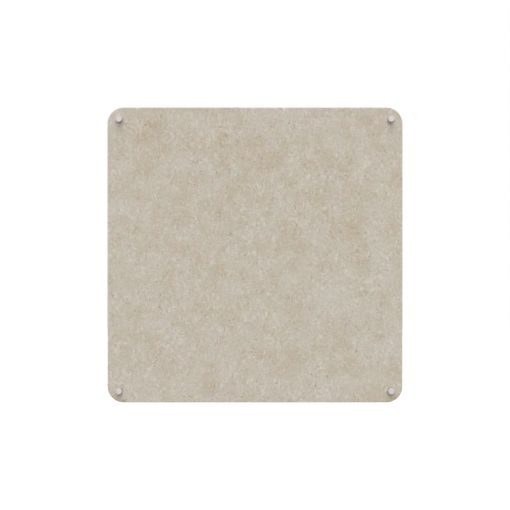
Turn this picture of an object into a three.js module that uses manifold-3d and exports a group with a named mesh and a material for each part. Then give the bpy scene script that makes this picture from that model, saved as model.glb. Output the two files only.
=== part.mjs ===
// A square felt pinboard with round corners that hangs clear of the wall on four turned standoffs.
//
// Each standoff is a barrel that a countersunk screw holds to the wall, and a cap whose threaded
// stud goes through the board into the barrel. A soft washer lies on each side of the felt.
//
// Units are millimetres. The part is built in the frame of the wall: +X right, +Y up, and +Z out of
// the wall towards the room, with zero at the middle of the board. The exported group is turned so
// that +Z is up and the board faces -Y.

import * as THREE from 'three';
import { mergeVertices, toCreasedNormals } from 'three/addons/utils/BufferGeometryUtils.js';
import Module from 'manifold-3d';

const wasm = await Module();
wasm.setup();

// Board
const boardWidth = 750;
const boardHeight = 750;
const boardThickness = 12;
const cornerRadius = 41;
const cutEdgeRound = 0.6;
const fixingInset = 30;

// Fits between pieces
const seatClearance = 0.3;
const threadClearance = 0.3;
const feltHoleClearance = 0.5;
const pressedFeltClearance = 0.3;
const screwHoleClearance = 0.3;
const plugBoreClearance = 0.3;

// Felt pressed in by the washers
const washerBite = 0.5;
const pressedFeltSlope = 1;

// Cap and its stud
const capDiameter = 16;
const capLength = 9.5;
const capFrontRound = 0.3;
const capBackChamfer = 0.3;
const studDiameter = 10;
const studTipChamfer = 1;
const studReliefLength = 1.6;
const studReliefDepth = 0.8;
const studTipGap = 5;

// Soft washers
const washerThickness = 1.4;
const washerSetIn = 0.6;
const washerEdgeRound = 0.25;

// Barrel
const barrelDiameter = 16;
const barrelLength = 18;
const barrelChamfer = 0.5;
const boreMouthChamfer = 0.6;
const floorThickness = 3.4;

// Wall screw
const screwDiameter = 4;
const screwLength = 40;
const screwHeadDiameter = 7.6;
const screwHeadRim = 0.5;
const screwPointLength = 6;
const screwPointDiameter = 0.6;
const recessSpan = 4.4;
const recessBlade = 1.1;
const recessDepth = 2;
const recessTipShare = 0.5;

// Wall plug
const plugLength = 30;
const plugWall = 0.9;
const plugSetback = 2.5;
const plugLip = 0.9;
const plugLipThickness = 0.8;
const plugNoseTaper = 0.5;
const plugNoseLength = 3;
const toothCount = 5;
const toothHeight = 0.4;
const toothedShare = 0.5;
const slotShare = 0.66;
const slotWidth = 0.9;
const wingLength = 8;
const wingHeight = 1.3;
const wingThickness = 0.9;

// How far a cutting shape runs past the face that it cuts, and a joined shape into its neighbour
const overrun = 0.5;

// Facets round a full turn, and round a quarter turn of the board's corner
const turnedSegments = 28;
const screwSegments = 16;
const cornerSegments = 12;
const edgeSegments = 2;
const creaseAngle = Math.PI / 6;

const capRadius = capDiameter / 2;
const studRadius = studDiameter / 2;
const barrelRadius = barrelDiameter / 2;
const boreRadius = studRadius + threadClearance;
const screwRadius = screwDiameter / 2;
const screwHeadRadius = screwHeadDiameter / 2;
const screwHoleRadius = screwRadius + screwHoleClearance;
const washerBore = studRadius + threadClearance;

// The stack along a standoff, from the wall into the room
const rearWasherBack = barrelLength + seatClearance;
const rearWasherFront = rearWasherBack + washerThickness;
const pressedBack = rearWasherFront + seatClearance;
const boardBack = pressedBack - washerBite;
const boardFront = boardBack + boardThickness;
const pressedFront = boardFront - washerBite;
const frontWasherBack = pressedFront + seatClearance;
const frontWasherFront = frontWasherBack + washerThickness;
const capBack = frontWasherFront + seatClearance;
const capFront = capBack + capLength;
const screwTop = floorThickness + screwHeadRim;
const studTip = screwTop + studTipGap;
const screwTip = screwTop - screwLength;
const plugFront = -plugSetback;
const plugTip = plugFront - plugLength;

const felt = new THREE.MeshStandardMaterial({ color: 0xc2b9ab, roughness: 0.95, metalness: 0 });
const aluminium = new THREE.MeshStandardMaterial({ color: 0xcecace, roughness: 0.35, metalness: 0.9 });
const softPlastic = new THREE.MeshStandardMaterial({ color: 0x5c5a58, roughness: 0.6, metalness: 0 });
const zincSteel = new THREE.MeshStandardMaterial({ color: 0xb9bcc0, roughness: 0.3, metalness: 1 });
const nylon = new THREE.MeshStandardMaterial({ color: 0x8f9394, roughness: 0.55, metalness: 0 });

// The manifold-3d solid inside a closed geometry
function solidOf(geometry) {
  const bare = new THREE.BufferGeometry();
  bare.setAttribute('position', geometry.getAttribute('position'));
  bare.setIndex(geometry.index);
  const merged = mergeVertices(bare);
  return new wasm.Manifold(
    new wasm.Mesh({
      numProp: 3,
      vertProperties: merged.getAttribute('position').array,
      triVerts: new Uint32Array(merged.index.array),
    }),
  );
}

// The geometry of a manifold-3d solid, with its edges kept sharp
function geometryOf(solid) {
  const mesh = solid.getMesh();
  const geometry = new THREE.BufferGeometry();
  geometry.setAttribute('position', new THREE.BufferAttribute(mesh.vertProperties, mesh.numProp));
  geometry.setIndex(new THREE.BufferAttribute(mesh.triVerts, 1));
  return toCreasedNormals(geometry, creaseAngle);
}

// A profile of [radius, distance from the wall] points, turned about the axis of a fixing
function turned(profile, segments) {
  const points = profile.map(([radius, distance]) => new THREE.Vector2(radius, distance));
  return new THREE.LatheGeometry(points, segments).rotateX(Math.PI / 2);
}

// A profile that closes on itself, for a piece with a hole along its axis
function turnedRing(profile, segments) {
  return turned([...profile, profile[0]], segments);
}

// The four fixings, each with its corner's name and the place of its axis
function fixings() {
  const across = boardWidth / 2 - fixingInset;
  const up = boardHeight / 2 - fixingInset;
  return [
    { corner: 'top_left', x: -across, y: up },
    { corner: 'top_right', x: across, y: up },
    { corner: 'bottom_left', x: -across, y: -up },
    { corner: 'bottom_right', x: across, y: -up },
  ];
}

function boardOutline() {
  const right = boardWidth / 2;
  const top = boardHeight / 2;
  const arcX = right - cornerRadius;
  const arcY = top - cornerRadius;
  const quarter = Math.PI / 2;
  const outline = new THREE.Shape();
  outline.absarc(arcX, arcY, cornerRadius, 0, quarter);
  outline.absarc(-arcX, arcY, cornerRadius, quarter, 2 * quarter);
  outline.absarc(-arcX, -arcY, cornerRadius, 2 * quarter, 3 * quarter);
  outline.absarc(arcX, -arcY, cornerRadius, 3 * quarter, 4 * quarter);
  outline.closePath();
  return outline;
}

// The hole for a stud, opening out at both faces to the ring that the washer presses into the felt
function feltHole() {
  const hole = studRadius + feltHoleClearance;
  const backRing = barrelRadius - washerSetIn + pressedFeltClearance;
  const frontRing = capRadius - washerSetIn + pressedFeltClearance;
  const slope = pressedFeltSlope * (1 + overrun / washerBite);
  return turned(
    [
      [0, boardBack - overrun],
      [backRing + slope, boardBack - overrun],
      [backRing, pressedBack],
      [hole, pressedBack],
      [hole, pressedFront],
      [frontRing, pressedFront],
      [frontRing + slope, boardFront + overrun],
      [0, boardFront + overrun],
    ],
    turnedSegments,
  );
}

// A panel of pressed felt with softened cut edges and a hole near each corner
function feltBoard() {
  const slab = new THREE.ExtrudeGeometry(boardOutline(), {
    depth: boardThickness - 2 * cutEdgeRound,
    bevelThickness: cutEdgeRound,
    bevelSize: cutEdgeRound,
    bevelOffset: -cutEdgeRound,
    bevelSegments: edgeSegments,
    curveSegments: cornerSegments,
  });
  slab.translate(0, 0, boardBack + cutEdgeRound);
  let board = solidOf(slab);
  const hole = solidOf(feltHole());
  for (const { x, y } of fixings()) {
    board = board.subtract(hole.translate([x, y, 0]));
  }
  return geometryOf(board);
}

// A flat-faced head and the stud behind it, turned in one piece
function cap() {
  const front = Math.PI / 2;
  const round = [0, 1, 2, 3].map((step) => {
    const angle = (front * step) / 3;
    return [
      capRadius - capFrontRound * (1 - Math.cos(angle)),
      capFront - capFrontRound * (1 - Math.sin(angle)),
    ];
  });
  return turned(
    [
      [0, studTip],
      [studRadius - studTipChamfer, studTip],
      [studRadius, studTip + studTipChamfer],
      [studRadius, capBack - studReliefLength - studReliefDepth],
      [studRadius - studReliefDepth, capBack - studReliefLength],
      [studRadius - studReliefDepth, capBack],
      [capRadius - capBackChamfer, capBack],
      [capRadius, capBack + capBackChamfer],
      ...round,
      [0, capFront],
    ],
    turnedSegments,
  );
}

function washer(outerRadius, back) {
  const front = back + washerThickness;
  return turnedRing(
    [
      [washerBore, back],
      [outerRadius - washerEdgeRound, back],
      [outerRadius, back + washerEdgeRound],
      [outerRadius, front - washerEdgeRound],
      [outerRadius - washerEdgeRound, front],
      [washerBore, front],
    ],
    turnedSegments,
  );
}

// A sleeve, threaded for the stud, with a countersunk floor for the wall screw
function barrel() {
  const countersinkMouth = screwHeadRadius + screwHoleClearance;
  return turnedRing(
    [
      [screwHoleRadius, 0],
      [barrelRadius - barrelChamfer, 0],
      [barrelRadius, barrelChamfer],
      [barrelRadius, barrelLength - barrelChamfer],
      [barrelRadius - barrelChamfer, barrelLength],
      [boreRadius + boreMouthChamfer, barrelLength],
      [boreRadius, barrelLength - boreMouthChamfer],
      [boreRadius, floorThickness],
      [countersinkMouth, floorThickness],
      [screwHoleRadius, floorThickness - (countersinkMouth - screwHoleRadius)],
    ],
    turnedSegments,
  );
}

// The hollow of a cross recess: a cross of two blades, tapering with depth as a cone does
function crossRecess() {
  const half = recessSpan / 2;
  const blade = recessBlade / 2;
  const bottom = screwTop - recessDepth;
  const cone = turned(
    [
      [0, bottom],
      [half * recessTipShare, bottom],
      [half, screwTop],
      [half, screwTop + overrun],
      [0, screwTop + overrun],
    ],
    screwSegments,
  );
  const cross = new THREE.Shape();
  cross.moveTo(blade, blade);
  cross.lineTo(blade, half);
  cross.lineTo(-blade, half);
  cross.lineTo(-blade, blade);
  cross.lineTo(-half, blade);
  cross.lineTo(-half, -blade);
  cross.lineTo(-blade, -blade);
  cross.lineTo(-blade, -half);
  cross.lineTo(blade, -half);
  cross.lineTo(blade, -blade);
  cross.lineTo(half, -blade);
  cross.lineTo(half, blade);
  cross.closePath();
  const blades = new THREE.ExtrudeGeometry(cross, {
    depth: recessDepth + 2 * overrun,
    bevelEnabled: false,
  });
  blades.translate(0, 0, bottom - overrun);
  return solidOf(cone).intersect(solidOf(blades));
}

// A countersunk wood screw, its thread left plain
function wallScrew() {
  const body = turned(
    [
      [0, screwTip],
      [screwPointDiameter / 2, screwTip],
      [screwRadius, screwTip + screwPointLength],
      [screwRadius, floorThickness - (screwHeadRadius - screwRadius)],
      [screwHeadRadius, floorThickness],
      [screwHeadRadius, screwTop],
      [0, screwTop],
    ],
    screwSegments,
  );
  return geometryOf(solidOf(body).subtract(crossRecess()));
}

// The outside of the plug: a lip, a plain neck, teeth that lean back, and a tapered nose
function plugProfile(bore, outer) {
  const toothedLength = plugLength * toothedShare;
  const pitch = toothedLength / toothCount;
  const firstTooth = plugTip + plugNoseLength;
  const teeth = [];
  for (let tooth = 0; tooth < toothCount; tooth += 1) {
    const root = firstTooth + tooth * pitch;
    teeth.push([outer, root]);
    teeth.push([outer + toothHeight, root + pitch]);
  }
  return [
    [bore, plugTip],
    [outer - plugNoseTaper, plugTip],
    ...teeth,
    [outer, firstTooth + toothedLength],
    [outer, plugFront - plugLipThickness],
    [outer + plugLip, plugFront - plugLipThickness],
    [outer + plugLip, plugFront],
    [bore, plugFront],
  ];
}

// One of the two fins that stop the plug turning in the wall, leaning out towards the lip
function plugWing(outer) {
  const back = plugFront - plugLipThickness;
  const root = outer - overrun;
  const fin = new THREE.Shape();
  fin.moveTo(root, back);
  fin.lineTo(outer + wingHeight, back);
  fin.lineTo(outer, back - wingLength);
  fin.lineTo(root, back - wingLength);
  fin.closePath();
  const wing = new THREE.ExtrudeGeometry(fin, { depth: wingThickness, bevelEnabled: false });
  wing.translate(0, 0, -wingThickness / 2);
  return wing.rotateX(Math.PI / 2);
}

// A nylon expansion plug, split into four legs behind its neck
function wallPlug() {
  const bore = screwRadius + plugBoreClearance;
  const outer = bore + plugWall;
  let plug = solidOf(turnedRing(plugProfile(bore, outer), screwSegments));
  const wing = solidOf(plugWing(outer));
  plug = plug.add(wing).add(wing.rotate([0, 0, 180]));
  const slotLength = plugLength * slotShare;
  const slotReach = 2 * (outer + toothHeight + overrun);
  const slot = new THREE.BoxGeometry(slotReach, slotWidth, slotLength + overrun);
  slot.translate(0, 0, plugTip + (slotLength - overrun) / 2);
  slot.rotateZ(Math.PI / 4);
  const cut = solidOf(slot);
  plug = plug.subtract(cut).subtract(cut.rotate([0, 0, 90]));
  return geometryOf(plug);
}

function piece(name, geometry, material) {
  const mesh = new THREE.Mesh(geometry, material);
  mesh.name = name;
  return mesh;
}

// The six pieces that hold one corner of the board
function standoff({ corner, x, y }) {
  const group = new THREE.Group();
  group.position.set(x, y, 0);
  group.add(
    piece(`cap_${corner}`, cap(), aluminium),
    piece(`front_washer_${corner}`, washer(capRadius - washerSetIn, frontWasherBack), softPlastic),
    piece(`rear_washer_${corner}`, washer(barrelRadius - washerSetIn, rearWasherBack), softPlastic),
    piece(`barrel_${corner}`, barrel(), aluminium),
    piece(`wall_screw_${corner}`, wallScrew(), zincSteel),
    piece(`wall_plug_${corner}`, wallPlug(), nylon),
  );
  return group;
}

const pinboard = new THREE.Group();
pinboard.add(piece('felt_board', feltBoard(), felt));
for (const fixing of fixings()) {
  pinboard.add(standoff(fixing));
}
pinboard.rotation.x = Math.PI / 2;

export default pinboard;
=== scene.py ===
"""The looks of a square felt pinboard that hangs on four turned standoffs.

Everything is in metres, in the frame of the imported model: +X right, +Z up, and -Y out of the wall
into the room. A distance is counted from the wall into the room, so its place is y = -distance.
"""

import math

import bmesh
import bpy
import numpy as np
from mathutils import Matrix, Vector
from mathutils.geometry import delaunay_2d_cdt


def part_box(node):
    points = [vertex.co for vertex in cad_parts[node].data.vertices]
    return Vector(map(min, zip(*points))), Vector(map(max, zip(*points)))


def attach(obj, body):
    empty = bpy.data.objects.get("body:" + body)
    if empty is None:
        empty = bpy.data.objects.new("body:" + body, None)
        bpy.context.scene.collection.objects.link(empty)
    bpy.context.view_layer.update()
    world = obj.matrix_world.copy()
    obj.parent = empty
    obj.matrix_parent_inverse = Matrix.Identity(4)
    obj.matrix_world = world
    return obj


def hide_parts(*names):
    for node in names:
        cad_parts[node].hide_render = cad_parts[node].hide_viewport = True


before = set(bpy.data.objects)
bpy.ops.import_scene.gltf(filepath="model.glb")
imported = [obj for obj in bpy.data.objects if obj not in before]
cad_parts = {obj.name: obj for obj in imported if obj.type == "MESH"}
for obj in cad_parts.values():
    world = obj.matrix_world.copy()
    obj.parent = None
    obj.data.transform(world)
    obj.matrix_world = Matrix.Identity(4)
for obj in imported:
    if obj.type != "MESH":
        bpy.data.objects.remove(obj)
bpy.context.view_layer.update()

MM = 0.001
TAU = 2 * math.pi
CORNERS = ("top_left", "top_right", "bottom_left", "bottom_right")

# The board's outline, its stud holes and the rings pressed into its faces
BOARD_SIDES = 4
CORNER_RADIUS = 41 * MM
CUT_EDGE_ROUND = 0.6 * MM
FELT_HOLE_RADIUS = 5.5 * MM
FELT_HOLE_CHAMFER = 0.3 * MM
WASHER_BITE = 0.5 * MM
PRESSED_CLEARANCE = 0.15 * MM
PRESSED_SLOPE = 1.3 * MM
# From the felt's face down to a pressed ring: shares of the slope outwards, and of the bite
PRESSED_FLARE = ((1.6, 0.0), (0.9, 0.06), (0.45, 0.32), (0.12, 0.78), (0.0, 1.0))

# The felt's mesh: the spacing of its points, and how many lie over the rounding of its edge, down
# its edge's side and round a hole
FRONT_SPACING = 3.2 * MM
BACK_SPACING = 4.4 * MM
EDGE_ROUND_POINTS = 4
EDGE_SIDE_POINTS = 6
HOLE_POINTS = 64
# Points of a face are moved at random and kept off rim and holes, in shares of their spacing
SCATTER_SEED = 7
SCATTER = 0.22
RIM_MARGIN = 0.7
HOLE_MARGIN = 1.6
# Rings of points round a hole: how far past its pressed ring, and how many points
HOLE_SURROUNDS = ((0.9 * MM, 48), (2.4 * MM, 32))
MERGE_DISTANCE = 1e-7

# The felt's relief: its height and spread, each with the seed of its noise
RELIEF_HEIGHT = 0.16 * MM
EDGE_RELIEF_HEIGHT = 0.22 * MM
RELIEF_SPREAD = 5.5 * MM
RELIEF_SEED = 11
FINER_RELIEF_SHARE = 0.6
FINER_RELIEF_SPREAD = RELIEF_SPREAD / 2.1
FINER_RELIEF_SEED = 12
WAVE_HEIGHT = 0.25 * MM
WAVE_SPREAD = 70 * MM
WAVE_SEED = 13
# The relief grows from nothing over this distance round a pressed ring
RELIEF_GROWTH = 6 * MM
# A point lies on the front or the back where its normal's share along Y is at least this
SIDE_NORMAL = 0.9
LATTICE_SIZE = 64

# The felt's own map, which a bake uses, in shares of its side: the front's square with the edge's
# strips above it, and beside it the back's square with the holes' strips above it
MAP_NAME = "OFBake"
MAP_MARGIN = 0.004
FRONT_SHARE = 0.70
BACK_SHARE = 0.284
STRIP_SHARE = 0.016
HOLE_STRIP_LENGTH = 0.2

# Where the felt leans brown or pale: x, z and radius in mm, and how much, pale below zero
CLUMPS = (
    (-260, 330, 15, 0.40),
    (-280, 300, 15, 0.40),
    (-90, 290, 20, 0.24),
    (10, 290, 15, 0.22),
    (20, 240, 25, 0.16),
    (60, 240, 20, 0.12),
    (-30, 180, 20, 0.20),
    (-150, 200, 20, 0.24),
    (150, 140, 20, 0.14),
    (242, 60, 32, 0.48),
    (276, 160, 18, 0.24),
    (-338, 84, 15, 0.30),
    (100, 60, 20, 0.24),
    (-140, -10, 15, 0.30),
    (-90, -40, 15, 0.34),
    (220, -220, 20, 0.28),
    (92, -268, 34, 0.32),
    (-110, -338, 15, 0.28),
    (226, -276, 18, 0.26),
    (-100, 110, 15, 0.20),
    (180, -110, 40, -0.26),
    (180, -340, 35, -0.30),
    (310, 0, 25, -0.30),
    (-220, -200, 25, -0.30),
    (-80, -300, 20, -0.26),
    (-350, 130, 25, -0.22),
    (-290, -310, 25, -0.26),
    (350, 150, 20, -0.18),
    (330, -230, 55, -0.26),
    (-14, -325, 25, -0.24),
    (-69, 118, 20, -0.20),
    (20, 200, 190, 0.04),
    (-310, 290, 70, 0.09),
    (340, -20, 110, -0.05),
    (60, -360, 150, -0.05),
    (-360, 150, 90, -0.04),
)
CLUMP_ATTRIBUTE = "clump"

# The felt's colours, in the 0 to 255 steps of a screen
FELT_COLOUR = (197.5, 188.5, 174.5)
BROWN_COLOUR = (190, 176, 154.5)
PALE_COLOUR = (201.5, 194.5, 183.5)
# The lean at which each starts, and at which it is full
BROWN_RANGE = (0.46, 0.98)
PALE_RANGE = (0.54, 0.08)
CLUMP_SPREAD = 42 * MM
# Two faint tints that take turns over the felt, as factors of its colour, and an offset
TINTS = ((1.024, 0.988, 1.016, 1), (0.976, 1.012, 0.984, 1))
TINT_SPREAD = 26 * MM
TINT_OFFSET = (7.7, 0, 5.3)
# The cut edge is darker than the faces, partly as denser cut felt and partly as painted shade that
# tones down the light its rounding catches, and this fades out as the felt turns to face the room
CUT_EDGE_TONE_AND_SHADE = (0.84, 0.84, 0.84, 1)
CUT_EDGE_SHADE_RANGE = (0.3, 0.9)
# Flecks of dyed fibre: spacing, how much of the felt's colour they replace, colour, and an offset
FLECKS = (
    (26 * MM, 0.50, (188, 171, 138), 41.3),
    (22 * MM, 0.45, (187, 170, 156), 47.9),
)
FLECK_RANGE = (0.66, 0.78)

# How fibres curl: the spread of the curls, and how far a fibre swings from side to side
CURL_SPREAD = 9 * MM
CURL_REACH = 5 * MM
# How tufts of strands bend, given in the same way, and an offset
BEND_SPREAD = 30 * MM
BEND_REACH = 22 * MM
BEND_OFFSET = (0, 0, 31.9)
# Curly fibres, each along the middle value of a noise: the noise's spread, how far in its values a
# fibre reaches from the middle, how much lighter or darker it is, and an offset
FIBRE_LAYERS = (
    (15 * MM, 0.10, 0.05, 0.0),
    (12 * MM, 0.08, -0.06, 9.1),
    (3 * MM, 0.07, 0.05, 13.7),
    (1.5 * MM, 0.09, 0.07, 17.9),
)
# Tufts of strands that lie one way: how far they turn from level in degrees, length and width of
# a strand, how much lighter or darker, and an offset
STRAND_LAYERS = (
    (84, 26 * MM, 3.6 * MM, 0.085, 2.1),
    (52, 20 * MM, 3.2 * MM, 0.080, 6.4),
    (118, 22 * MM, 3.6 * MM, 0.080, 11.3),
    (14, 18 * MM, 3.2 * MM, 0.070, 15.2),
    (97, 24 * MM, 3.2 * MM, 0.085, 19.8),
)
STRAND_RANGE = (0.28, 0.72)
TUFT_SPREAD = 24 * MM
TUFT_RANGE = (0.46, 0.66)
# Single fibres that show from close by, given as the strands are
HAIR_LAYERS = (
    (28, 7 * MM, 0.40 * MM, 0.085, 3.3),
    (152, 6 * MM, 0.35 * MM, 0.085, 8.8),
    (90, 8 * MM, 0.45 * MM, 0.085, 12.9),
)
# Broad and fine unevenness of the felt's light: spread, strength either way, and an offset
BROAD_SPREAD = 14 * MM
BROAD_STRENGTH = 0.03
BROAD_OFFSET = (3.1, 0, 1.7)
FINE_SPREAD = 1.6 * MM
FINE_STRENGTH = 0.05
# Painted shade in the dark gaps between fibres
GAP_SPREAD = 5 * MM
GAP_RANGE = (0.60, 0.72)
GAP_SHADE_DEPTH = -0.24
# How strongly the fibres show where the felt is matted flat, and where it is loose
MATTED_SPREAD = 12 * MM
MATTED_OFFSET = (0, 0, 61.7)
MATTED_RANGE = (0.34, 0.66)
MATTED_STRENGTHS = (0.25, 1.50)
# The grain's limits before its finest fibres are added
DARKEST_GRAIN = -0.6
LIGHTEST_GRAIN = 0.20
# What a step of grain adds to the felt's red, green and blue
GRAIN_COLOUR = (0.505, 0.50, 0.46)
GRAIN_HEIGHT = 0.8 * MM
GRAIN_BUMP = 0.5
# The range that most of a noise's values lie in, and a narrower one
NOISE_RANGE = (0.25, 0.75)
NARROW_NOISE_RANGE = (0.3, 0.7)

# Turned metals: screen colours of a faced end and of a side, the side's darker colour being painted
# shade, how metallic and how rough they are, and the width of three of the lathe's rings
ALUMINIUM = ((203, 198, 199), (176, 171, 172), 0.25, 0.42, 0.35 * MM)
ZINC_STEEL = ((190, 192, 195), (176, 178, 180), 1.0, 0.3, 0.5 * MM)
LATHE_RING_HEIGHT = 0.006 * MM
# The painted shade on a side fades into a faced end's colour as it turns to face the room or the wall
SIDE_SHADE_FADE = (0.45, 0.9)
# Smudges on the metals mix in some of another colour, and move their roughness either way
SMUDGE_SPREAD = 5 * MM
SMUDGE_RANGE = (0.55, 0.8)
SMUDGE_SHARE = 0.25
SMUDGE_COLOUR = (150, 148, 146)
SMUDGE_ROUGHNESS = 0.12

# Moulded plastics: two screen colours that cloud into each other, and the sizes of clouds and grain
WASHER_COLOURS = ((70, 69, 67), (96, 95, 92))
WASHER_CLOUD_SPREAD = 2.5 * MM
WASHER_GRAIN_SPREAD = 0.4 * MM
WASHER_GRAIN_HEIGHT = 0.02 * MM
NYLON_COLOURS = ((134, 139, 142), (150, 155, 157))
NYLON_ROUGHNESS = (0.42, 0.55)
NYLON_CLOUD_SPREAD = 4 * MM
NYLON_GRAIN_SPREAD = 0.6 * MM
NYLON_GRAIN_HEIGHT = 0.03 * MM

# Turned pieces
STUD_RADIUS = 5 * MM
STUD_PITCH = 1.5 * MM
STUD_THREAD_DEPTH = 0.85 * MM
STUD_TIP_CHAMFER = 1 * MM
STUD_RELIEF_LENGTH = 1.6 * MM
THREAD_PLAY = 0.1 * MM
CAP_FRONT_ROUND = 0.3 * MM
CAP_BACK_CHAMFER = 0.3 * MM
BARREL_CHAMFER = 0.5 * MM
BORE_MOUTH_CHAMFER = 0.6 * MM
FLOOR_THICKNESS = 3.4 * MM
WASHER_ROUND = 0.25 * MM
SEAT_PLAY = 0.02 * MM
EDGE_BREAK = 0.12 * MM

# A vee thread's steepness, and how much is taken off its crest
THREAD_STEEPNESS = 1.3
THREAD_CREST = 0.15

# The wall screw and its plug
SCREW_RADIUS = 2 * MM
SCREW_PITCH = 1.8 * MM
SCREW_THREAD_DEPTH = 0.55 * MM
SCREW_NECK = 1 * MM
SCREW_POINT_LENGTH = 6 * MM
SCREW_POINT_RADIUS = 0.3 * MM
SCREW_HEAD_PLAY = 0.05 * MM
RECESS_SPAN = 4.4 * MM
RECESS_BLADE = 1.1 * MM
RECESS_DEPTH = 2 * MM
RECESS_TIP = 0.4 * MM
# The blades of the cross are cut this much wider than the recess that they shape
RECESS_BLADE_SPARE = 1.2
PLUG_BORE_RADIUS = 2.08 * MM
PLUG_OUTER_RADIUS = 3.2 * MM
PLUG_LIP_THICKNESS = 0.8 * MM
PLUG_NOSE_LENGTH = 3 * MM
PLUG_NOSE_TAPER = 0.5 * MM
PLUG_TOOTH_HEIGHT = 0.4 * MM
PLUG_TEETH = 5
# Where a tooth's crest starts and ends, as shares of the teeth's pitch
PLUG_TOOTH_CREST = (0.92, 0.98)
# How much of the plug's length is toothed, and how much is slotted
PLUG_TOOTHED_SHARE = 0.5
PLUG_SLOT_SHARE = 0.66
PLUG_SLOT_WIDTH = 0.9 * MM
PLUG_FIN_LENGTH = 8 * MM
PLUG_FIN_HEIGHT = 1.3 * MM
PLUG_FIN_THICKNESS = 0.9 * MM
PLUG_FIN_ROOT = 0.5 * MM
# How far a cutting shape runs past the face that it cuts
OVERRUN = 1 * MM

# Facets round a turn, and rings along a turn of thread
TURNED_SEGMENTS = 96
SCREW_SEGMENTS = 48
RINGS_PER_PITCH = 8
SHARP_ANGLE = math.radians(32)
FELT_SHARP_ANGLE = math.radians(60)

# Camera: distance from the felt's front, and the lens and the sensor's width in mm
CAMERA_DISTANCE = 2.341
LENS = 65.0
SENSOR = 36.0

# Lights: name, elevation, swing to the right and width in degrees, strength, seen in metal or not
LIGHTS = (
    ("left_key", 62, -40, 20, 0.40, True),
    ("right_key", 62, 40, 20, 0.40, True),
    ("high_key", 75, 0, 25, 1.30, True),
    ("front", 25, 0, 70, 2.04, False),
    ("left_edge", 20, -115, 50, 1.60, False),
    ("right_edge", 20, 115, 50, 1.60, False),
    ("back", 35, 180, 70, 1.50, False),
)
SKY_STRENGTH = 0.14
SEEN_SKY_STRENGTH = 1.0

# Floor
FLOOR_DROP = 1.4
FLOOR_SIDE = 40.0
FLOOR_SHADE = 0.13
FLOOR_GLOW = 0.87
FLOOR_ROUGHNESS = 0.9


def box_of(kind, corner):
    """The lowest and highest corner of one standoff's piece."""
    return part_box(f"{kind}_{corner}")


def axis_of(corner):
    """Where a standoff's axis meets the wall."""
    low, high = box_of("barrel", corner)
    return Vector(((low.x + high.x) / 2, 0, (low.z + high.z) / 2))


def nearest_and_furthest(kind):
    """How far from the wall a piece of a standoff starts and ends."""
    low, high = box_of(kind, CORNERS[0])
    return -high.y, -low.y


def radius_of(kind):
    """Half a standoff piece's height, which is its radius where it is round."""
    low, high = box_of(kind, CORNERS[0])
    return (high.z - low.z) / 2


board_low, board_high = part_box("felt_board")
BOARD_HALF = board_high.x
BOARD_BACK = -board_high.y
BOARD_FRONT = -board_low.y
PRESSED_BACK = BOARD_BACK + WASHER_BITE
PRESSED_FRONT = BOARD_FRONT - WASHER_BITE
STUD_TIP, CAP_FRONT = nearest_and_furthest("cap")
FRONT_WASHER_BACK, FRONT_WASHER_FRONT = nearest_and_furthest("front_washer")
# A front washer stands as far from its cap as from its pressed ring
CAP_BACK = FRONT_WASHER_FRONT + (FRONT_WASHER_BACK - PRESSED_FRONT)
CAP_RADIUS = radius_of("cap")
WASHER_RADIUS = radius_of("front_washer")
BARREL_FRONT = nearest_and_furthest("barrel")[1]
BARREL_RADIUS = radius_of("barrel")
SCREW_TIP, SCREW_TOP = nearest_and_furthest("wall_screw")
SCREW_HEAD_RADIUS = radius_of("wall_screw")
PLUG_TIP, PLUG_FRONT = nearest_and_furthest("wall_plug")
PLUG_LIP_RADIUS = radius_of("wall_plug")


# Meshes

def piece_from(name, points, faces, sharp_angle=SHARP_ANGLE):
    """A new smooth-shaded object from points and faces, its edges sharp past an angle."""
    mesh = bpy.data.meshes.new(name)
    mesh.from_pydata([tuple(p) for p in points], [], [tuple(f) for f in faces])
    mesh.shade_smooth()
    mesh.set_sharp_from_angle(angle=sharp_angle)
    mesh.update()
    made = bpy.data.objects.new(name, mesh)
    bpy.context.scene.collection.objects.link(made)
    return made


def face_out(made):
    """Turns every face of a closed piece to point outwards."""
    shape = bmesh.new()
    shape.from_mesh(made.data)
    bmesh.ops.recalc_face_normals(shape, faces=shape.faces)
    shape.to_mesh(made.data)
    shape.free()


def groove(angle, distance, pitch):
    """How deep a vee thread is cut at a place, from 0 on its crest to 1 at its root."""
    turn = (distance / pitch - angle / TAU) % 1
    return np.clip(THREAD_STEEPNESS * (1 - np.abs(2 * turn - 1)) - THREAD_CREST, 0, 1)


def turned_faces(rings, segments, solid):
    """Faces between rings of points, closed by a fan at each end, or back to the first ring."""
    faces = []
    for ring in range(rings - 1 if solid else rings):
        here = ring * segments
        there = (ring + 1) % rings * segments
        for i in range(segments):
            j = (i + 1) % segments
            faces.append((here + i, here + j, there + j, there + i))
    if solid:
        first_tip = rings * segments
        last_ring = first_tip - segments
        for i in range(segments):
            j = (i + 1) % segments
            faces.append((first_tip, j, i))
            faces.append((last_ring + i, last_ring + j, first_tip + 1))
    return faces


def turned(name, profile, segments, pitch=1.0, depth=0.0):
    """A solid turned about the Y axis from (radius, distance, thread share) points.

    The profile runs from the wall side into the room and back on a hollow piece, where it closes
    on itself, and from axis to axis on a solid one.
    """
    radii, distances, shares = np.array([(*p, 0.0)[:3] for p in profile]).T
    solid = radii[0] == 0
    ringed = slice(1, -1) if solid else slice(None)
    angles = np.arange(segments) * TAU / segments
    along = distances[ringed, None]
    reach = radii[ringed, None] - depth * shares[ringed, None] * groove(angles[None], along, pitch)
    places = (reach * np.cos(angles), np.broadcast_to(-along, reach.shape), reach * np.sin(angles))
    points = np.stack(places, axis=-1).reshape(-1, 3).tolist()
    if solid:
        points += [(0, -distances[0], 0), (0, -distances[-1], 0)]
    made = piece_from(name, points, turned_faces(len(reach), segments, solid))
    face_out(made)
    return made


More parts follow.
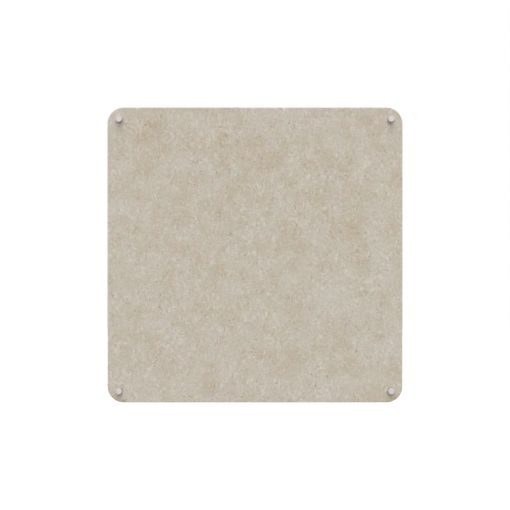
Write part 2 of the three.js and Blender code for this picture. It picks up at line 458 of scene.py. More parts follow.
def threaded(radius, start, end, pitch):
    """Profile points along a thread, whose depth fades in and out over a turn at each end."""
    count = round(abs(end - start) / pitch * RINGS_PER_PITCH)
    points = []
    for i in range(count + 1):
        share = min(1, i / RINGS_PER_PITCH, (count - i) / RINGS_PER_PITCH)
        points.append((radius, start + (end - start) * i / count, share))
    return points


def rounded(centre_radius, centre_distance, size, start, end, steps):
    """Profile points on an arc, whose angles are counted from outwards towards the room."""
    points = []
    for i in range(steps + 1):
        angle = math.radians(start + (end - start) * i / steps)
        points.append(
            (centre_radius + size * math.cos(angle), centre_distance + size * math.sin(angle))
        )
    return points


def cut(made, tool, operation="DIFFERENCE"):
    """Cuts a piece by another, or joins them, and deletes the tool."""
    change = made.modifiers.new(operation, "BOOLEAN")
    change.operation = operation
    change.object = tool
    change.solver = "EXACT"
    graph = bpy.context.evaluated_depsgraph_get()
    shaped = bpy.data.meshes.new_from_object(made.evaluated_get(graph))
    made.modifiers.clear()
    made.data = shaped
    made.data.shade_smooth()
    made.data.set_sharp_from_angle(angle=SHARP_ANGLE)
    bpy.data.objects.remove(tool)


def prism(name, outline, thickness):
    """A flat plate from an outline of (x, distance) points, centred on z = 0."""
    count = len(outline)
    half = thickness / 2
    points = [(x, -d, -half) for x, d in outline] + [(x, -d, half) for x, d in outline]
    faces = [tuple(range(count)), tuple(range(2 * count - 1, count - 1, -1))]
    for i in range(count):
        j = (i + 1) % count
        faces.append((i, j, j + count, i + count))
    made = piece_from(name, points, faces)
    face_out(made)
    return made


# The felt board

def outline_points(spacing):
    """Points round the board with the outward direction at each, as two arrays."""
    straight = BOARD_HALF - CORNER_RADIUS
    along = round(2 * straight / spacing)
    round_steps = round(TAU / 4 * CORNER_RADIUS / spacing)
    places, outward = [], []
    for side in range(BOARD_SIDES):
        turn = side * TAU / BOARD_SIDES
        right = np.array([math.cos(turn), math.sin(turn)])
        up = np.array([-math.sin(turn), math.cos(turn)])
        for i in range(along):
            height = -straight + 2 * straight * i / along
            places.append(BOARD_HALF * right + height * up)
            outward.append(right)
        for i in range(round_steps):
            bend = TAU / 4 * i / round_steps
            way = math.cos(bend) * right + math.sin(bend) * up
            places.append(straight * (right + up) + CORNER_RADIUS * way)
            outward.append(way)
    return np.array(places), np.array(outward)


def inside_outline(points, margin):
    """Which points lie in the board's outline, at least a margin from its edge."""
    straight = BOARD_HALF - CORNER_RADIUS
    past = np.maximum(np.abs(points) - straight, 0)
    corner = np.hypot(past[:, 0], past[:, 1])
    return corner < CORNER_RADIUS - margin


def circle_points(count, turn=0.0):
    """Points round a circle of radius 1, starting part of a step along it."""
    angles = (np.arange(count) + turn) * TAU / count
    return np.stack([np.cos(angles), np.sin(angles)], axis=-1)


def hole_rings():
    """(radius, distance) of each ring down a stud's hole, from the board's front to its back."""
    seat = WASHER_RADIUS + PRESSED_CLEARANCE
    down = [(seat + PRESSED_SLOPE * out, deep * WASHER_BITE) for out, deep in PRESSED_FLARE]
    down += [
        ((seat + FELT_HOLE_RADIUS) / 2, WASHER_BITE),
        (FELT_HOLE_RADIUS + FELT_HOLE_CHAMFER, WASHER_BITE),
        (FELT_HOLE_RADIUS, WASHER_BITE + FELT_HOLE_CHAMFER),
    ]
    front = [(radius, BOARD_FRONT - depth) for radius, depth in down]
    back = [(radius, BOARD_BACK + depth) for radius, depth in reversed(down)]
    middle = [(FELT_HOLE_RADIUS, (BOARD_FRONT + BOARD_BACK) / 2)]
    return front + middle + back


def edge_rings():
    """(inset, distance) of each ring round the cut edge, from the board's back to its front."""
    rounding = [
        (CUT_EDGE_ROUND * (1 - math.sin(a)), CUT_EDGE_ROUND * (1 - math.cos(a)))
        for a in np.linspace(0, TAU / 4, EDGE_ROUND_POINTS)
    ]
    thickness = BOARD_FRONT - BOARD_BACK
    side = np.linspace(CUT_EDGE_ROUND, thickness - CUT_EDGE_ROUND, EDGE_SIDE_POINTS)[1:-1]
    rings = [(inset, BOARD_BACK + up) for inset, up in rounding]
    rings += [(0.0, BOARD_BACK + up) for up in side]
    rings += [(inset, BOARD_FRONT - up) for inset, up in reversed(rounding)]
    return rings


def face_grid(spacing, centres, rng):
    """Scattered points over a face of the board, clear of its rim and of the holes' rings."""
    count = round(2 * BOARD_HALF / spacing)
    steps = (np.arange(count) + 0.5) / count * 2 * BOARD_HALF - BOARD_HALF
    x, z = np.meshgrid(steps, steps)
    x = x + (np.arange(count)[:, None] % 2 - 0.5) * spacing / 2
    points = np.stack([x.ravel(), z.ravel()], axis=-1)
    points += rng.uniform(-SCATTER, SCATTER, points.shape) * spacing
    keep = inside_outline(points, CUT_EDGE_ROUND + RIM_MARGIN * spacing)
    reach = hole_rings()[0][0]
    for centre in centres:
        keep &= np.hypot(*(points - centre).T) > reach + HOLE_MARGIN * spacing
    extra = []
    for centre in centres:
        for ring, (past, number) in enumerate(HOLE_SURROUNDS):
            extra.append(centre + (reach + past) * circle_points(number, ring / 2))
    return np.concatenate([points[keep], *extra])


def triangles_between(rim, holes, inner, centres):
    """Triangles over a face, bounded by its rim and by the rings of its holes."""
    loops = [rim, *holes]
    points = np.concatenate([*loops, inner])
    edges = []
    start = 0
    for loop in loops:
        count = len(loop)
        edges += [(start + i, start + (i + 1) % count) for i in range(count)]
        start += count
    made = delaunay_2d_cdt([Vector(p) for p in points], edges, [], 0, MERGE_DISTANCE, True)
    places, faces, sources = made[0], np.array(made[2]), made[3]
    index = np.array([source[0] for source in sources])
    middle = np.array(places)[faces].mean(axis=1)
    keep = np.ones(len(faces), bool)
    ring = np.hypot(*(holes[0] - centres[0]).T).mean() * math.cos(math.pi / HOLE_POINTS)
    for centre in centres:
        keep &= np.hypot(*(middle - centre).T) > ring
    return points, index[faces[keep]]


class FeltMesh:
    """Collects the points and faces of the board, and where each face lies on its map."""

    def __init__(self):
        self.points = []
        self.faces = []
        self.spots = []
        self.count = 0

    def add(self, flat, distance):
        """Adds (x, z) points at a distance from the wall, and returns their numbers."""
        distances = np.broadcast_to(distance, len(flat))
        self.points.append(np.stack([flat[:, 0], -distances, flat[:, 1]], axis=-1))
        numbers = np.arange(self.count, self.count + len(flat))
        self.count += len(flat)
        return numbers

    def join(self, rings, parts, left, bottom, length):
        """Joins rings that have as many points, and lays them on the map in strips, part by part."""
        bands = len(rings) - 1
        for band, (here, there) in enumerate(zip(rings, rings[1:])):
            quads = np.stack([here, np.roll(here, -1), np.roll(there, -1), there], axis=-1)
            self.faces += quads.tolist()
            steps = len(here) // parts
            part, step = np.divmod(np.arange(len(here)), steps)
            start, end = left + length * step / steps, left + length * (step + 1) / steps
            low = bottom + part * (STRIP_SHARE + MAP_MARGIN) + STRIP_SHARE * band / bands
            high = low + STRIP_SHARE / bands
            self.spots += np.stack([start, low, end, low, end, high, start, high], axis=-1).tolist()

    def cover(self, numbers, flat, triangles, way, left, share):
        """Adds the triangles of a flat side, and lays them on the map in a square, seen square on."""
        self.faces += numbers[triangles].tolist()
        spots = (flat * (way, 1) / BOARD_HALF + 1) / 2 * share + (left, MAP_MARGIN)
        self.spots += spots[triangles].reshape(len(triangles), -1).tolist()


def felt_shape():
    """The board before its relief: points, faces, and each face's corners on the map."""
    felt = FeltMesh()
    rng = np.random.default_rng(SCATTER_SEED)
    centres = [np.array([axis_of(c).x, axis_of(c).z]) for c in CORNERS]
    places, outward = outline_points(FRONT_SPACING)
    edge = [felt.add(places - inset * outward, distance) for inset, distance in edge_rings()]
    beside, above = FRONT_SHARE + 2 * MAP_MARGIN, BACK_SHARE + 2 * MAP_MARGIN
    felt.join(edge, BOARD_SIDES, MAP_MARGIN, beside, FRONT_SHARE)
    circle = circle_points(HOLE_POINTS)
    front_bounds, back_bounds = [edge[-1]], [edge[0]]
    for centre in centres:
        rings = [felt.add(centre + radius * circle, distance) for radius, distance in hole_rings()]
        felt.join(rings, 1, beside, above, HOLE_STRIP_LENGTH)
        above += STRIP_SHARE + MAP_MARGIN
        front_bounds.append(rings[0])
        back_bounds.append(rings[-1])
    rim = places - CUT_EDGE_ROUND * outward
    holes = [centre + hole_rings()[0][0] * circle for centre in centres]
    for bounds, distance, spacing, way, left, share in (
        (front_bounds, BOARD_FRONT, FRONT_SPACING, 1, MAP_MARGIN, FRONT_SHARE),
        (back_bounds, BOARD_BACK, BACK_SPACING, -1, beside, BACK_SHARE),
    ):
        inner = face_grid(spacing, centres, rng)
        flat, triangles = triangles_between(rim, holes, inner, centres)
        numbers = np.concatenate([*bounds, felt.add(inner, distance)])
        felt.cover(numbers, flat, triangles, way, left, share)
    return np.concatenate(felt.points), felt.faces, np.concatenate(felt.spots)


def lattice_noise(points, spread, seed):
    """Smooth noise between -1 and 1 at points, from a seeded grid of values a spread apart."""
    rng = np.random.default_rng(seed)
    values = rng.uniform(-1, 1, (LATTICE_SIZE,) * 3)
    scaled = points / spread
    cell = np.floor(scaled).astype(int)
    part = scaled - cell
    blend = part * part * (3 - 2 * part)
    total = np.zeros(len(points))
    for corner in range(8):
        bits = np.array([corner >> 2 & 1, corner >> 1 & 1, corner & 1])
        weight = np.prod(np.where(bits, blend, 1 - blend), axis=1)
        x, y, z = ((cell + bits) % LATTICE_SIZE).T
        total += weight * values[x, y, z]
    return total


def relief(points, normals):
    """How far the felt rises or sinks at each point."""
    finer = lattice_noise(points, FINER_RELIEF_SPREAD, FINER_RELIEF_SEED)
    fine = lattice_noise(points, RELIEF_SPREAD, RELIEF_SEED) + FINER_RELIEF_SHARE * finer
    wave = lattice_noise(points, WAVE_SPREAD, WAVE_SEED)
    on_side = np.abs(normals[:, 1]) > SIDE_NORMAL
    height = np.where(on_side, RELIEF_HEIGHT, EDGE_RELIEF_HEIGHT)
    rise = fine * height / 2 + wave * WAVE_HEIGHT * on_side / 2
    away = np.full(len(points), np.inf)
    for corner in CORNERS:
        axis = axis_of(corner)
        away = np.minimum(away, np.hypot(points[:, 0] - axis.x, points[:, 2] - axis.z))
    return rise * np.clip((away - WASHER_RADIUS - PRESSED_CLEARANCE) / RELIEF_GROWTH, 0, 1)


def brown_lean(points):
    """How much the clumps make the felt lean brown at each point, or pale below zero."""
    lean = np.zeros(len(points))
    for x, z, radius, amount in CLUMPS:
        away = np.hypot(points[:, 0] - x * MM, points[:, 2] - z * MM)
        lean += amount * np.exp(-((away / (radius * MM)) ** 2))
    return lean


def felt_board():
    """The pressed felt panel, with its uneven faces and cut edges."""
    points, faces, spots = felt_shape()
    made = piece_from("felt_panel", points, faces, FELT_SHARP_ANGLE)
    made.data.uv_layers.new(name=MAP_NAME).data.foreach_set("uv", spots.astype(np.float32))
    face_out(made)
    normals = np.array([v.normal for v in made.data.vertices])
    moved = points + normals * relief(points, normals)[:, None]
    made.data.vertices.foreach_set("co", moved.ravel().astype(np.float32))
    made.data.update()
    attribute = made.data.attributes.new(CLUMP_ATTRIBUTE, "FLOAT", "POINT")
    attribute.data.foreach_set("value", brown_lean(points).astype(np.float32))
    return made


# The pieces of a standoff

def cap():
    """The satin head and its threaded stud, one turned piece."""
    thread_end = CAP_BACK - STUD_RELIEF_LENGTH
    root = STUD_RADIUS - STUD_THREAD_DEPTH
    front_centre = CAP_RADIUS - CAP_FRONT_ROUND
    profile = [
        (0, STUD_TIP),
        (STUD_RADIUS - STUD_TIP_CHAMFER, STUD_TIP),
        *threaded(STUD_RADIUS, STUD_TIP + STUD_TIP_CHAMFER, thread_end, STUD_PITCH),
        (root, thread_end + STUD_THREAD_DEPTH / 2),
        (root, CAP_BACK),
        (CAP_RADIUS - CAP_BACK_CHAMFER, CAP_BACK),
        (CAP_RADIUS, CAP_BACK + CAP_BACK_CHAMFER),
        *rounded(front_centre, CAP_FRONT - CAP_FRONT_ROUND, CAP_FRONT_ROUND, 0, 90, steps=6),
        (front_centre / 2, CAP_FRONT),
        (0, CAP_FRONT),
    ]
    return turned("cap", profile, TURNED_SEGMENTS, STUD_PITCH, STUD_THREAD_DEPTH)


def washer(name, back, front):
    """A soft ring with round edges."""
    bore = STUD_RADIUS + THREAD_PLAY
    outer = WASHER_RADIUS - WASHER_ROUND
    profile = [
        (bore, back),
        *rounded(outer, back + WASHER_ROUND, WASHER_ROUND, -90, 0, steps=3),
        *rounded(outer, front - WASHER_ROUND, WASHER_ROUND, 0, 90, steps=3),
        (bore, front),
    ]
    return turned(name, profile, TURNED_SEGMENTS)


def barrel():
    """The sleeve that stands on the wall, threaded for the stud, with a countersunk floor."""
    bore = STUD_RADIUS + THREAD_PLAY
    hole = SCREW_RADIUS + SCREW_HEAD_PLAY
    mouth = SCREW_HEAD_RADIUS + SCREW_HEAD_PLAY
    thread_start = BARREL_FRONT - BORE_MOUTH_CHAMFER
    outer = BARREL_RADIUS - BARREL_CHAMFER
    profile = [
        (hole, EDGE_BREAK),
        (hole + EDGE_BREAK, 0),
        (outer, 0),
        (BARREL_RADIUS, BARREL_CHAMFER),
        *rounded(outer, BARREL_FRONT - BARREL_CHAMFER, BARREL_CHAMFER, 0, 90, steps=4),
        (bore + BORE_MOUTH_CHAMFER, BARREL_FRONT),
        *threaded(bore, thread_start, FLOOR_THICKNESS + STUD_PITCH, STUD_PITCH),
        (bore, FLOOR_THICKNESS),
        (mouth, FLOOR_THICKNESS),
        (hole, FLOOR_THICKNESS - (mouth - hole)),
    ]
    return turned("barrel", profile, TURNED_SEGMENTS, STUD_PITCH, STUD_THREAD_DEPTH)


def cross_recess():
    """The solid that cuts a cross into a screw's head."""
    half = RECESS_SPAN / 2
    blade = RECESS_BLADE / 2
    bottom = SCREW_TOP - RECESS_DEPTH
    above = SCREW_TOP + OVERRUN
    core = turned(
        "recess",
        [(0, bottom - RECESS_TIP), (blade, bottom), (half, SCREW_TOP), (half, above), (0, above)],
        SCREW_SEGMENTS,
    )
    wide = half * RECESS_BLADE_SPARE
    below = bottom - OVERRUN
    outline = [(-wide, below), (wide, below), (wide, above), (-wide, above)]
    blades = prism("blade", outline, RECESS_BLADE)
    other = prism("other_blade", outline, RECESS_BLADE)
    other.rotation_euler.y = TAU / 4
    cut(blades, other, "UNION")
    cut(core, blades, "INTERSECT")
    return core


def screw_thread(shank_top):
    """Profile points up a wood screw's point and along its thread, which fades out at the top."""
    point_top = SCREW_TIP + SCREW_POINT_LENGTH
    rings = round(SCREW_POINT_LENGTH / SCREW_PITCH * RINGS_PER_PITCH)
    points = []
    for i in range(1, rings):
        share = i / rings
        width = SCREW_POINT_RADIUS + (SCREW_RADIUS - SCREW_POINT_RADIUS) * share
        points.append((width, SCREW_TIP + SCREW_POINT_LENGTH * share, share))
    length = shank_top - SCREW_NECK - point_top
    count = round(length / SCREW_PITCH * RINGS_PER_PITCH)
    for i in range(count + 1):
        fade = min(1, (count - i) / RINGS_PER_PITCH)
        points.append((SCREW_RADIUS, point_top + length * i / count, fade))
    return points


def wall_screw():
    """A countersunk wood screw with its thread and cross recess."""
    shank_top = FLOOR_THICKNESS - (SCREW_HEAD_RADIUS - SCREW_RADIUS)
    profile = [
        (0, SCREW_TIP),
        (SCREW_POINT_RADIUS / 2, SCREW_TIP + EDGE_BREAK),
        *screw_thread(shank_top),
        (SCREW_RADIUS, shank_top),
        (SCREW_HEAD_RADIUS, FLOOR_THICKNESS),
        (SCREW_HEAD_RADIUS, SCREW_TOP - EDGE_BREAK),
        (SCREW_HEAD_RADIUS - EDGE_BREAK, SCREW_TOP),
        (RECESS_SPAN / 2 + EDGE_BREAK, SCREW_TOP),
        (0, SCREW_TOP),
    ]
    made = turned("wall_screw", profile, SCREW_SEGMENTS, SCREW_PITCH, SCREW_THREAD_DEPTH)
    cut(made, cross_recess())
    return made


def plug_profile(lip_back):
    """The outline of a plug: a tapered nose, teeth that lean back, a plain neck and a lip."""
    bore, outer = PLUG_BORE_RADIUS, PLUG_OUTER_RADIUS
    toothed = (PLUG_FRONT - PLUG_TIP) * PLUG_TOOTHED_SHARE
    pitch = toothed / PLUG_TEETH
    first = PLUG_TIP + PLUG_NOSE_LENGTH
    teeth = []
    for tooth in range(PLUG_TEETH):
        root = first + tooth * pitch
        teeth.append((outer, root))
        teeth += [(outer + PLUG_TOOTH_HEIGHT, root + crest * pitch) for crest in PLUG_TOOTH_CREST]
    lip_round = 2 * EDGE_BREAK
    return [
        (bore, PLUG_TIP),
        (outer - PLUG_NOSE_TAPER - EDGE_BREAK, PLUG_TIP),
        (outer - PLUG_NOSE_TAPER, PLUG_TIP + EDGE_BREAK),
        *teeth,
        (outer, first + toothed),
        (outer, lip_back),
        (PLUG_LIP_RADIUS - EDGE_BREAK, lip_back),
        *rounded(PLUG_LIP_RADIUS - lip_round, PLUG_FRONT - lip_round, lip_round, 0, 90, steps=3),
        (bore + EDGE_BREAK, PLUG_FRONT),
        (bore, PLUG_FRONT - EDGE_BREAK),
    ]


def plug_fin(way, lip_back):
    """One of the two fins that stop a plug turning, on its right or, for -1, on its left."""
    inner = PLUG_OUTER_RADIUS - PLUG_FIN_ROOT
    tip = PLUG_OUTER_RADIUS + PLUG_FIN_HEIGHT
    outline = [
        (way * inner, lip_back + EDGE_BREAK),
        (way * tip, lip_back + EDGE_BREAK),
        (way * tip, lip_back - EDGE_BREAK),
        (way * PLUG_OUTER_RADIUS, lip_back - PLUG_FIN_LENGTH),
        (way * inner, lip_back - PLUG_FIN_LENGTH),
    ]
    return prism("fin", outline, PLUG_FIN_THICKNESS)


def wall_plug():
    """A nylon plug, split into four legs, with teeth, a lip and two fins."""
    lip_back = PLUG_FRONT - PLUG_LIP_THICKNESS
    made = turned("wall_plug", plug_profile(lip_back), SCREW_SEGMENTS)
    for way in (1, -1):
        cut(made, plug_fin(way, lip_back), "UNION")
    reach = 2 * PLUG_OUTER_RADIUS
    start = PLUG_TIP - OVERRUN
    end = PLUG_TIP + (PLUG_FRONT - PLUG_TIP) * PLUG_SLOT_SHARE
    outline = [(-reach, start), (reach, start), (reach, end), (-reach, end)]
    for eighths in (1, 3):
        slot = prism("slot", outline, PLUG_SLOT_WIDTH)
        slot.rotation_euler.y = eighths * TAU / 8
        cut(made, slot)
    return made


# Materials

class Shader:
    """A material's node tree, with short calls for the nodes that it needs."""

    def __init__(self, name, **sockets):
        self.material = bpy.data.materials.new(name)
        self.material.use_nodes = True
        self.tree = self.material.node_tree
        self.tree.nodes.clear()
        output = self.tree.nodes.new("ShaderNodeOutputMaterial")
        self.surface = self.tree.nodes.new("ShaderNodeBsdfPrincipled")
        self.link(self.surface.outputs["BSDF"], output.inputs["Surface"])
        self.feed(self.surface, **sockets)

    def link(self, source, target):
        self.tree.links.new(source, target)

    def node(self, kind, **settings):
        made = self.tree.nodes.new(kind)
        for setting, value in settings.items():
            setattr(made, setting, value)
        return made

    def fill(self, value, socket):
        """Sets a socket to a value, or links it to an output."""
        if isinstance(value, bpy.types.NodeSocket):
            self.link(value, socket)
        else:
            socket.default_value = value

    def feed(self, node, **inputs):
        """Sets or links a node's inputs by their names."""
        for name, value in inputs.items():
            self.fill(value, node.inputs[name.replace("_", " ")])

    def place(self):
        """Where a point lies in its piece."""
        return self.node("ShaderNodeTexCoord").outputs["Object"]

    def depth_of_normal(self):
        """How squarely a surface faces the room or the wall, from 0 to 1."""
        split = self.node("ShaderNodeSeparateXYZ")
        self.link(self.node("ShaderNodeTexCoord").outputs["Normal"], split.inputs[0])
        return self.absolute(split.outputs["Y"])

    def moved(self, vector, offset):
        """A place moved by an offset, where noise takes other values."""
        made = self.node("ShaderNodeMapping")
        self.feed(made, Vector=vector, Location=offset)
        return made.outputs["Vector"]

    def shifted(self, vector, noise, reach):
        """A place moved about by a noise's colour, up to half a reach each way."""
        centred = self.node("ShaderNodeVectorMath", operation="SUBTRACT")
        self.fill(noise, centred.inputs[0])
        self.fill((0.5, 0.5, 0.5), centred.inputs[1])
        made = self.node("ShaderNodeVectorMath", operation="MULTIPLY_ADD")
        self.fill(centred.outputs[0], made.inputs[0])
        self.fill((reach, reach, reach), made.inputs[1])
        self.fill(vector, made.inputs[2])
        return made.outputs[0]

    def noise(self, vector, spread, detail=2.0, roughness=0.5, colour=False):
        """Noise whose largest features are about a spread across."""
        made = self.node("ShaderNodeTexNoise")
        self.feed(made, Vector=vector, Scale=1 / spread, Detail=detail, Roughness=roughness)
        return made.outputs["Color" if colour else "Fac"]

    def strands(self, vector, degrees, length, width, strength, offset):
        """Light and dark strands at a turn from level in the plane of the wall."""
        made = self.node("ShaderNodeMapping", vector_type="TEXTURE")
        self.feed(
            made,
            Vector=vector,
            Location=(offset, offset, 0),
            Rotation=(0, math.radians(degrees), 0),
            Scale=(length, width, width),
        )
        field = self.noise(made.outputs["Vector"], 1, detail=0.0)
        return self.spread(field, *STRAND_RANGE, -strength, strength)

    def combined(self, *values, operation="ADD"):
        """Adds values, or combines them by another operation, from left to right."""
        total = values[0]
        for value in values[1:]:
            made = self.node("ShaderNodeMath", operation=operation)
            self.fill(total, made.inputs[0])
            self.fill(value, made.inputs[1])
            total = made.outputs[0]
        return total

    def absolute(self, value):
        made = self.node("ShaderNodeMath", operation="ABSOLUTE")
        self.link(value, made.inputs[0])
        return made.outputs[0]

    def spread(self, value, low, high, to_low=0.0, to_high=1.0, smooth=False):
        """Maps a range of values to another, held at its ends."""
        made = self.node("ShaderNodeMapRange")
        made.interpolation_type = "SMOOTHSTEP" if smooth else "LINEAR"
        self.feed(made, Value=value, From_Min=low, From_Max=high, To_Min=to_low, To_Max=to_high)
        return made.outputs["Result"]

    def mix(self, share, first, second, blend="MIX"):
        """Mixes two colours."""
        made = self.node("ShaderNodeMix", data_type="RGBA", blend_type=blend)
        for socket, value in ((0, share), (6, first), (7, second)):
            self.fill(value, made.inputs[socket])
        return made.outputs[2]

    def bump(self, height, distance, strength=1.0):
        made = self.node("ShaderNodeBump")
        self.feed(made, Height=height, Distance=distance, Strength=strength)
        return made.outputs["Normal"]


def linear(red, green, blue):
    """A colour written in the 0 to 255 steps of a screen, as the shader's linear values."""
    values = []
    for step in (red, green, blue):
        share = step / 255
        values.append(share / 12.92 if share <= 0.04045 else ((share + 0.055) / 1.055) ** 2.4)
    return (*values, 1.0)


def felt_colour(shader, place, curled):
    """The felt's colour without its fibres: clumps, faint tints, cut edges darkened partly by painted
    shade, and flecks.
    """
    clump = shader.noise(curled, CLUMP_SPREAD)
    leaning = shader.node("ShaderNodeAttribute", attribute_name=CLUMP_ATTRIBUTE).outputs["Fac"]
    lean = shader.combined(clump, leaning)
    brown = shader.spread(lean, *BROWN_RANGE)
    pale = shader.spread(lean, *PALE_RANGE)
    colour = shader.mix(brown, linear(*FELT_COLOUR), linear(*BROWN_COLOUR))
    colour = shader.mix(pale, colour, linear(*PALE_COLOUR))
    tint = shader.noise(shader.moved(place, TINT_OFFSET), TINT_SPREAD, roughness=0.6)
    tinge = shader.mix(shader.spread(tint, *NARROW_NOISE_RANGE), *TINTS)
    colour = shader.mix(1.0, colour, tinge, "MULTIPLY")
    # Painted shade, together with the denser felt's own tone: the cut edge is darkened
    unshaded_share = shader.spread(shader.depth_of_normal(), *CUT_EDGE_SHADE_RANGE)
    colour = shader.mix(1.0, colour, shader.mix(unshaded_share, CUT_EDGE_TONE_AND_SHADE, (1, 1, 1, 1)), "MULTIPLY")
    for spacing, share, fleck, offset in FLECKS:
        field = shader.noise(shader.moved(curled, (offset, 0, offset)), spacing, detail=1.0)
        colour = shader.mix(shader.spread(field, *FLECK_RANGE, 0, share), colour, linear(*fleck))
    return colour


def felt_grain(shader, place, curled):
    """How much lighter or darker the felt's fibres make it, with painted shade in the gaps between
    them, weaker where it is matted flat.
    """
    bend = shader.noise(shader.moved(place, BEND_OFFSET), BEND_SPREAD, detail=1.0, colour=True)
    bent = shader.shifted(place, bend, BEND_REACH)
    broad = shader.noise(shader.moved(place, BROAD_OFFSET), BROAD_SPREAD, detail=3.0, roughness=0.75)
    light = [shader.spread(broad, *NOISE_RANGE, -BROAD_STRENGTH, BROAD_STRENGTH)]
    for spacing, width, strength, offset in FIBRE_LAYERS:
        field = shader.noise(shader.moved(curled, (offset, offset, 0)), spacing, detail=1.0)
        away = shader.absolute(shader.combined(field, 0.5, operation="SUBTRACT"))
        light.append(shader.spread(away, 0, width, strength, 0, smooth=True))
    for degrees, length, width, strength, offset in STRAND_LAYERS:
        tone = shader.strands(bent, degrees, length, width, strength, offset)
        tuft = shader.noise(shader.moved(place, (offset, 0, -offset)), TUFT_SPREAD, detail=1.0)
        shown = shader.spread(tuft, *TUFT_RANGE, smooth=True)
        light.append(shader.combined(shown, tone, operation="MULTIPLY"))
    # Painted shade: the gaps between fibres darken the felt's colour
    gap_shade = shader.noise(curled, GAP_SPREAD, roughness=0.6)
    light.append(shader.spread(gap_shade, *GAP_RANGE, 0, GAP_SHADE_DEPTH))
    matted = shader.noise(shader.moved(place, MATTED_OFFSET), MATTED_SPREAD, detail=1.0)
    shown = shader.spread(matted, *MATTED_RANGE, *MATTED_STRENGTHS)
    grain = shader.combined(shader.combined(*light), shown, operation="MULTIPLY")
    grain = shader.spread(grain, DARKEST_GRAIN, LIGHTEST_GRAIN, DARKEST_GRAIN, LIGHTEST_GRAIN)
    fine = shader.noise(place, FINE_SPREAD, detail=3.0, roughness=0.7)
    grain = shader.combined(grain, shader.spread(fine, *NOISE_RANGE, -FINE_STRENGTH, FINE_STRENGTH))
    return shader.combined(grain, *[shader.strands(curled, *layer) for layer in HAIR_LAYERS])


def felt_material():
    """Heathered felt: curly pale fibres, painted shade in the dark gaps between them, and brown and
    pale clumps.
    """
    shader = Shader("felt", Roughness=0.95, Specular_IOR_Level=0.15, Sheen_Weight=0.08)
    place = shader.place()
    curls = shader.noise(place, CURL_SPREAD, detail=1.0, colour=True)
    curled = shader.shifted(place, curls, CURL_REACH)
    grain = felt_grain(shader, place, curled)
    lit = shader.node("ShaderNodeVectorMath", operation="MULTIPLY_ADD")
    shader.fill(grain, lit.inputs[0])
    shader.fill(GRAIN_COLOUR, lit.inputs[1])
    shader.fill(felt_colour(shader, place, curled), lit.inputs[2])
    shader.feed(
        shader.surface, Base_Color=lit.outputs[0], Normal=shader.bump(grain, GRAIN_HEIGHT, GRAIN_BUMP)
    )
    return shader.material


def turned_metal(name, face_colour, shaded_side_colour, metal_share, roughness, three_rings):
    """Satin metal with painted shade that makes its sides darker than its faced ends, with the rings
    of the lathe.
    """
    shader = Shader(name, Metallic=metal_share)
    place = shader.place()
    # Painted shade: the sides take a darker colour than the faced ends
    unshaded_share = shader.spread(shader.depth_of_normal(), *SIDE_SHADE_FADE)
    colour = shader.mix(unshaded_share, linear(*shaded_side_colour), linear(*face_colour))
    smudge = shader.noise(place, SMUDGE_SPREAD, detail=3.0)
    dulled = shader.spread(smudge, *SMUDGE_RANGE, 0.0, SMUDGE_SHARE)
    smooth, rough = roughness * (1 - SMUDGE_ROUGHNESS), roughness * (1 + SMUDGE_ROUGHNESS)
    rings = shader.node("ShaderNodeTexWave", wave_type="RINGS", rings_direction="Y")
    shader.feed(rings, Vector=place, Scale=1 / three_rings, Distortion=1.5, Detail_Scale=2.0)
    shader.feed(
        shader.surface,
        Base_Color=shader.mix(dulled, colour, linear(*SMUDGE_COLOUR)),
        Roughness=shader.spread(smudge, *NARROW_NOISE_RANGE, smooth, rough),
        Normal=shader.bump(rings.outputs["Fac"], LATHE_RING_HEIGHT),
    )
    return shader.material


def soft_plastic_material():
    """Dull dark plastic of the washers."""
    shader = Shader("soft_plastic", Roughness=0.6, Specular_IOR_Level=0.4)
    place = shader.place()
    dark, light = WASHER_COLOURS
    cloud = shader.noise(place, WASHER_CLOUD_SPREAD, detail=3.0)
    grain = shader.noise(place, WASHER_GRAIN_SPREAD)
    shader.feed(
        shader.surface,
        Base_Color=shader.mix(cloud, linear(*dark), linear(*light)),
        Normal=shader.bump(grain, WASHER_GRAIN_HEIGHT),
    )
    return shader.material


def nylon_material():
    """Moulded grey nylon of the plugs."""
    shader = Shader("nylon", Specular_IOR_Level=0.5, Subsurface_Weight=0.05)
    place = shader.place()
    dark, light = NYLON_COLOURS
    cloud = shader.noise(place, NYLON_CLOUD_SPREAD, detail=3.0)
    grain = shader.noise(place, NYLON_GRAIN_SPREAD)
    shader.feed(
        shader.surface,
        Base_Color=shader.mix(cloud, linear(*dark), linear(*light)),
        Roughness=shader.spread(cloud, *NARROW_NOISE_RANGE, *NYLON_ROUGHNESS),
        Normal=shader.bump(grain, NYLON_GRAIN_HEIGHT),
    )
    return shader.material


# Putting the board together

def dress(made, material, node):
    """Gives a piece its material and slot, and has it stand for a node."""
    made.data.materials.clear()
    made.data.materials.append(material)
    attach(made, "root")
    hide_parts(node)


def standoffs():
    """Four copies of each turned and moulded piece, one at each corner."""
    aluminium = turned_metal("satin_aluminium", *ALUMINIUM)
    steel = turned_metal("zinc_steel", *ZINC_STEEL)
    soft = soft_plastic_material()
    nylon = nylon_material()
    front_washer = washer("front_washer", PRESSED_FRONT, CAP_BACK - SEAT_PLAY)
    rear_washer = washer("rear_washer", BARREL_FRONT + SEAT_PLAY, PRESSED_BACK)
    kinds = (
        (cap(), "cap", aluminium, "satin_aluminium"),
        (front_washer, "front_washer", soft, "soft_plastic"),
        (rear_washer, "rear_washer", soft, "soft_plastic"),
        (barrel(), "barrel", aluminium, "satin_aluminium"),
        (wall_screw(), "wall_screw", steel, "zinc_steel"),
        (wall_plug(), "wall_plug", nylon, "nylon"),
    )
    for model, kind, material, slot in kinds:
        for corner in CORNERS:
            made = bpy.data.objects.new(f"turned_{kind}_{corner}", model.data.copy())
            bpy.context.scene.collection.objects.link(made)
            made.location = axis_of(corner)
            dress(made, material, f"{kind}_{corner}")
        bpy.data.objects.remove(model)


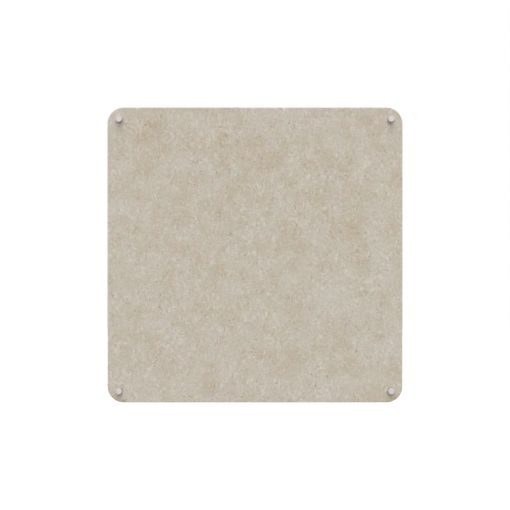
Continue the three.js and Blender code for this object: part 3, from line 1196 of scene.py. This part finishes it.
def add_camera():
    """A camera square on to the middle of the board."""
    data = bpy.data.cameras.new("camera")
    data.lens = LENS
    data.sensor_width = SENSOR
    camera = bpy.data.objects.new("camera", data)
    camera.location = (0, -BOARD_FRONT - CAMERA_DISTANCE, 0)
    camera.rotation_euler = (TAU / 4, 0, 0)
    bpy.context.scene.collection.objects.link(camera)
    bpy.context.scene.camera = camera


def add_light(name, elevation, swing, width, strength, in_metal):
    """A broad soft light, whose swing is counted from straight in front of the board."""
    data = bpy.data.lights.new(name, "SUN")
    data.energy = strength
    data.angle = math.radians(width)
    light = bpy.data.objects.new(name, data)
    rise, turn = math.radians(elevation), math.radians(swing)
    towards = Vector(
        (math.sin(turn) * math.cos(rise), -math.cos(turn) * math.cos(rise), math.sin(rise))
    )
    light.rotation_mode = "QUATERNION"
    light.rotation_quaternion = towards.to_track_quat("Z", "Y")
    light.visible_glossy = in_metal
    bpy.context.scene.collection.objects.link(light)


def strength_where_seen(tree, unseen, seen, strength_socket):
    """Feeds one strength where camera, mirror or glass rays look, and another elsewhere."""
    path = tree.nodes.new("ShaderNodeLightPath")
    total = path.outputs["Is Camera Ray"]
    for name in ("Is Glossy Ray", "Is Transmission Ray"):
        either = tree.nodes.new("ShaderNodeMath")
        either.operation = "MAXIMUM"
        tree.links.new(total, either.inputs[0])
        tree.links.new(path.outputs[name], either.inputs[1])
        total = either.outputs[0]
    chosen = tree.nodes.new("ShaderNodeMapRange")
    tree.links.new(total, chosen.inputs["Value"])
    chosen.inputs["To Min"].default_value = unseen
    chosen.inputs["To Max"].default_value = seen
    tree.links.new(chosen.outputs["Result"], strength_socket)


def add_world():
    """An even pale room, seen as plain white."""
    world = bpy.data.worlds.new("room")
    world.use_nodes = True
    tree = world.node_tree
    background = tree.nodes["Background"]
    background.inputs["Color"].default_value = (1, 1, 1, 1)
    strength_where_seen(tree, SKY_STRENGTH, SEEN_SKY_STRENGTH, background.inputs["Strength"])
    bpy.context.scene.world = world


def add_floor():
    """A plain pale floor that keeps the board's shadow."""
    half = FLOOR_SIDE / 2
    level = -BOARD_HALF - FLOOR_DROP
    points = [(-half, -half, level), (half, -half, level), (half, half, level), (-half, half, level)]
    floor = piece_from("floor", points, [(0, 1, 2, 3)])
    material = bpy.data.materials.new("floor")
    material.use_nodes = True
    tree = material.node_tree
    surface = tree.nodes["Principled BSDF"]
    surface.inputs["Base Color"].default_value = (FLOOR_SHADE, FLOOR_SHADE, FLOOR_SHADE, 1)
    surface.inputs["Roughness"].default_value = FLOOR_ROUGHNESS
    surface.inputs["Emission Color"].default_value = (1, 1, 1, 1)
    strength_where_seen(tree, 0.0, FLOOR_GLOW, surface.inputs["Emission Strength"])
    floor.data.materials.append(material)


board = felt_board()
dress(board, felt_material(), "felt_board")
standoffs()
add_camera()
for light in LIGHTS:
    add_light(*light)
add_world()
add_floor()
bpy.context.scene.view_settings.view_transform = "Standard"
